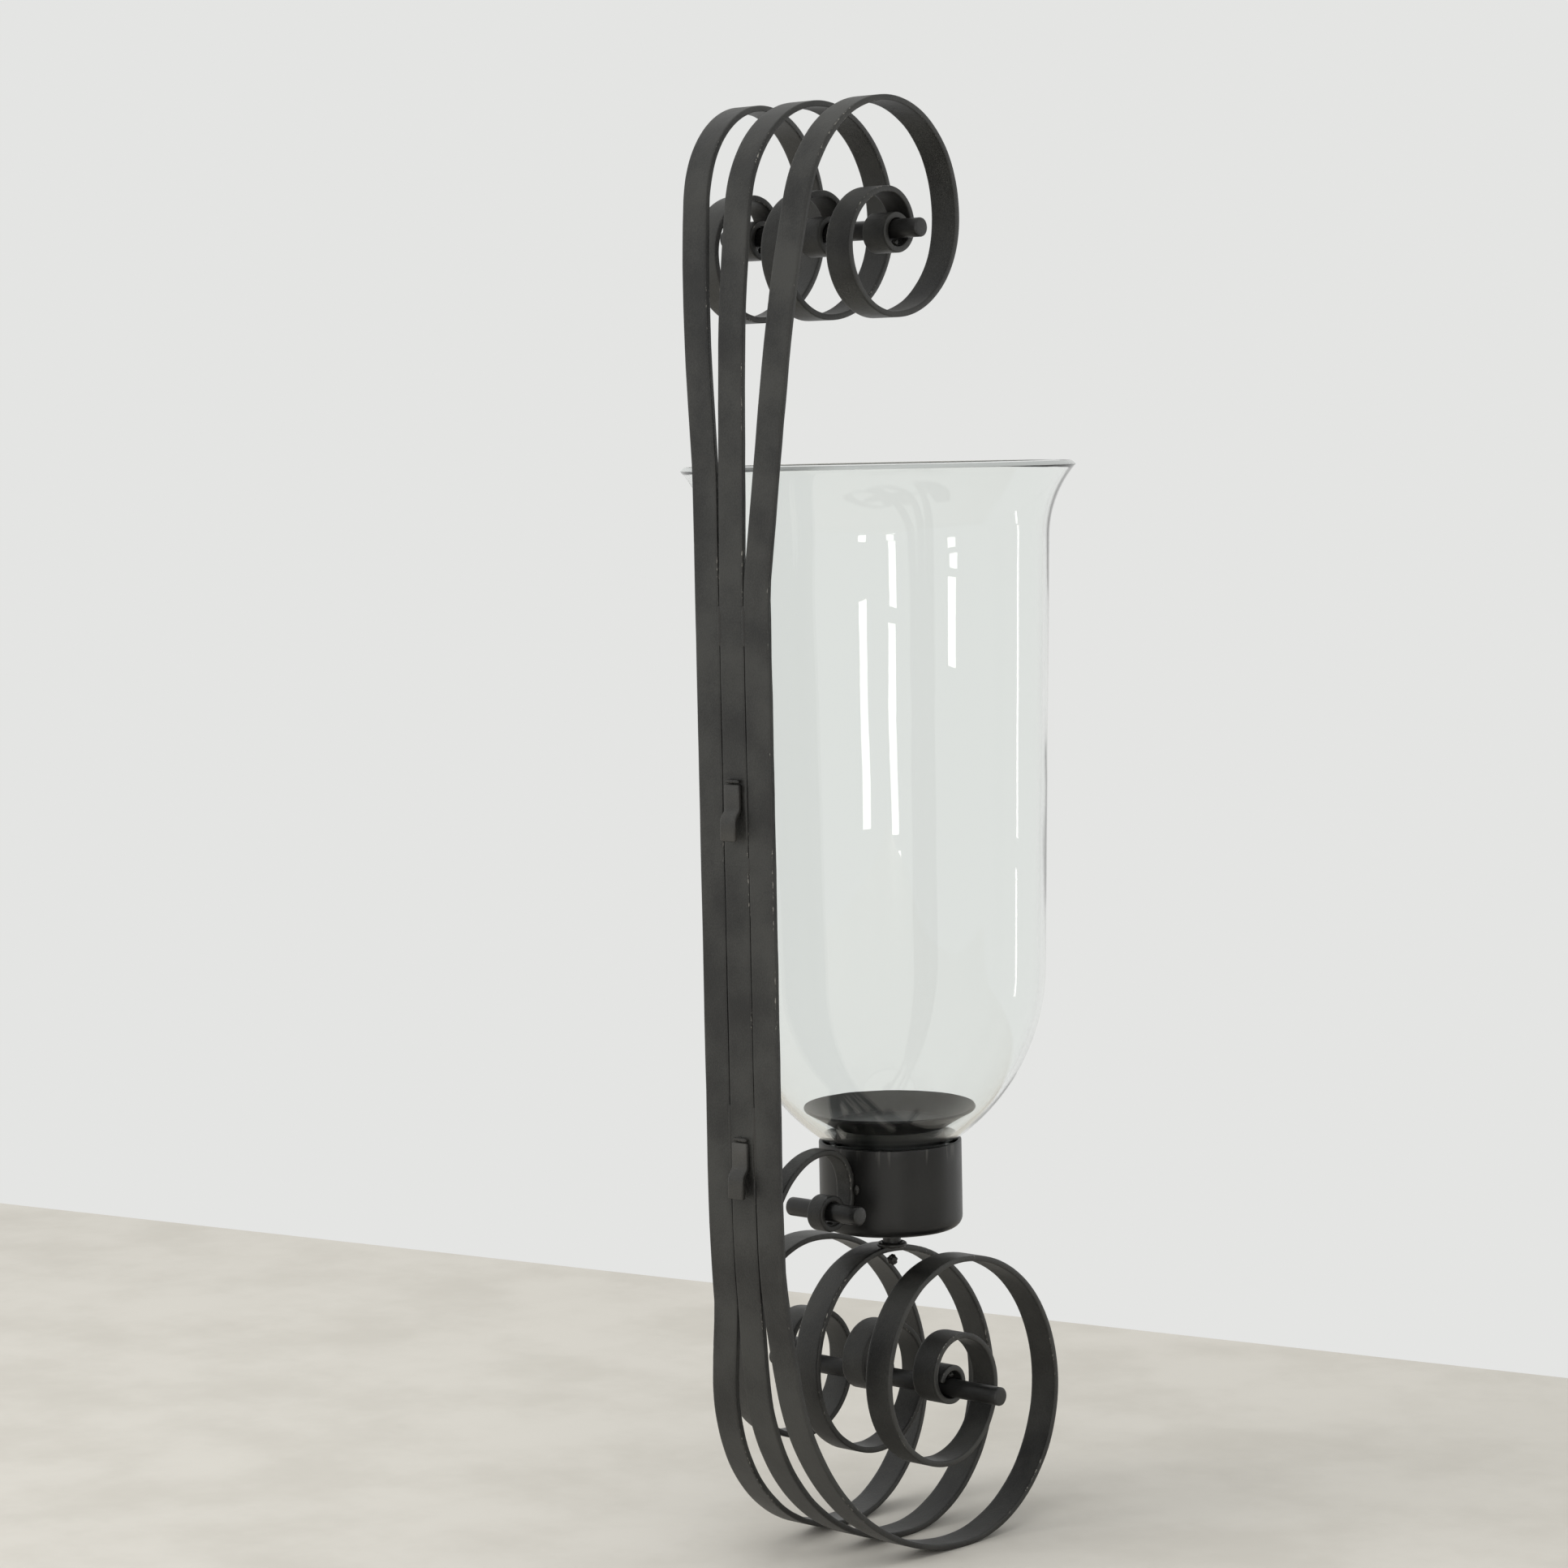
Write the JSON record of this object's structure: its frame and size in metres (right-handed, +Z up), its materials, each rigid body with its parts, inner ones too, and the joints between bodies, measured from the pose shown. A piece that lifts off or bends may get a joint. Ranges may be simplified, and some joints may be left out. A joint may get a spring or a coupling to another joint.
{
  "type": "wall sconce candle holder",
  "caption": "Wrought-iron wall sconce: parallel flat bars splay into rolled scrolls at top and bottom, with a cup, candle pan and flared glass shade on the lower scroll.",
  "frame": {"origin": "middle of the flat wall face of the upper hook's leg", "axes": "+Z up, +Y into the wall, +X to the left of someone facing the wall; the wall is the plane y = 0 and the sconce stands out toward -Y"},
  "size_m": [0.251, 0.2725, 0.919],
  "materials": {
    "bottom_rod": "black, satin, fine hammered grain",
    "bracket_cup_tack": "black, rough bead under paint",
    "bracket_foot_weld": "black, rough bead under paint",
    "bracket_rod": "black, satin, fine hammered grain",
    "bracket_scroll": "black, satin, fine hammered grain",
    "candle_pan": "black, satin",
    "cup": "black, satin to gloss",
    "cup_post": "black, satin, fine hammered grain",
    "glass_shade": "clear, thin blown glass",
    "hook_lower": "black, satin, fine hammered grain",
    "hook_upper": "black, satin, fine hammered grain",
    "hook_weld_lower": "black, rough bead under paint",
    "hook_weld_upper": "black, rough bead under paint",
    "post_weld_lower": "black, rough bead under paint",
    "post_weld_under": "black, rough bead under paint",
    "post_weld_upper": "black, rough bead under paint",
    "rod_tack_bottom_left": "black, rough bead under paint",
    "rod_tack_bottom_middle": "black, rough bead under paint",
    "rod_tack_bottom_right": "black, rough bead under paint",
    "rod_tack_bracket": "black, rough bead under paint",
    "rod_tack_top_left": "black, rough bead under paint",
    "rod_tack_top_middle": "black, rough bead under paint",
    "rod_tack_top_right": "black, rough bead under paint",
    "seam_spot_weld": "black, rough bead under paint",
    "seam_weld_lower_left": "black, rough bead under paint",
    "seam_weld_lower_right": "black, rough bead under paint",
    "seam_weld_upper_left": "black, rough bead under paint",
    "seam_weld_upper_right": "black, rough bead under paint",
    "strap_left": "black, satin, fine hammered grain",
    "strap_middle": "black, satin, fine hammered grain",
    "strap_right": "black, satin, fine hammered grain",
    "top_rod": "black, satin, fine hammered grain"
  },
  "bodies": {
    "frame": {"bottom_rod": "bottom_rod", "bracket_cup_tack": "bracket_cup_tack", "bracket_foot_weld": "bracket_foot_weld", "bracket_rod": "bracket_rod", "bracket_scroll": "bracket_scroll", "cup": "cup", "cup_post": "cup_post", "hook_lower": "hook_lower", "hook_upper": "hook_upper", "hook_weld_lower": "hook_weld_lower", "hook_weld_upper": "hook_weld_upper", "post_weld_lower": "post_weld_lower", "post_weld_under": "post_weld_under", "post_weld_upper": "post_weld_upper", "rod_tack_bottom_left": "rod_tack_bottom_left", "rod_tack_bottom_middle": "rod_tack_bottom_middle", "rod_tack_bottom_right": "rod_tack_bottom_right", "rod_tack_bracket": "rod_tack_bracket", "rod_tack_top_left": "rod_tack_top_left", "rod_tack_top_middle": "rod_tack_top_middle", "rod_tack_top_right": "rod_tack_top_right", "seam_spot_weld": "seam_spot_weld", "seam_weld_lower_left": "seam_weld_lower_left", "seam_weld_lower_right": "seam_weld_lower_right", "seam_weld_upper_left": "seam_weld_upper_left", "seam_weld_upper_right": "seam_weld_upper_right", "strap_left": "strap_left", "strap_middle": "strap_middle", "strap_right": "strap_right", "top_rod": "top_rod"},
    "shade": {"glass_shade": "glass_shade"},
    "pan": {"candle_pan": "candle_pan"}
  },
  "joints": [
    {"name": "shade_lift", "type": "slide", "parent": "frame", "child": "shade", "axis": [0, 0, 1], "range_m": [0, 0.06]},
    {"name": "pan_lift", "type": "slide", "parent": "shade", "child": "pan", "axis": [0, 0, 1], "range_m": [0, 0.3]}
  ]
}
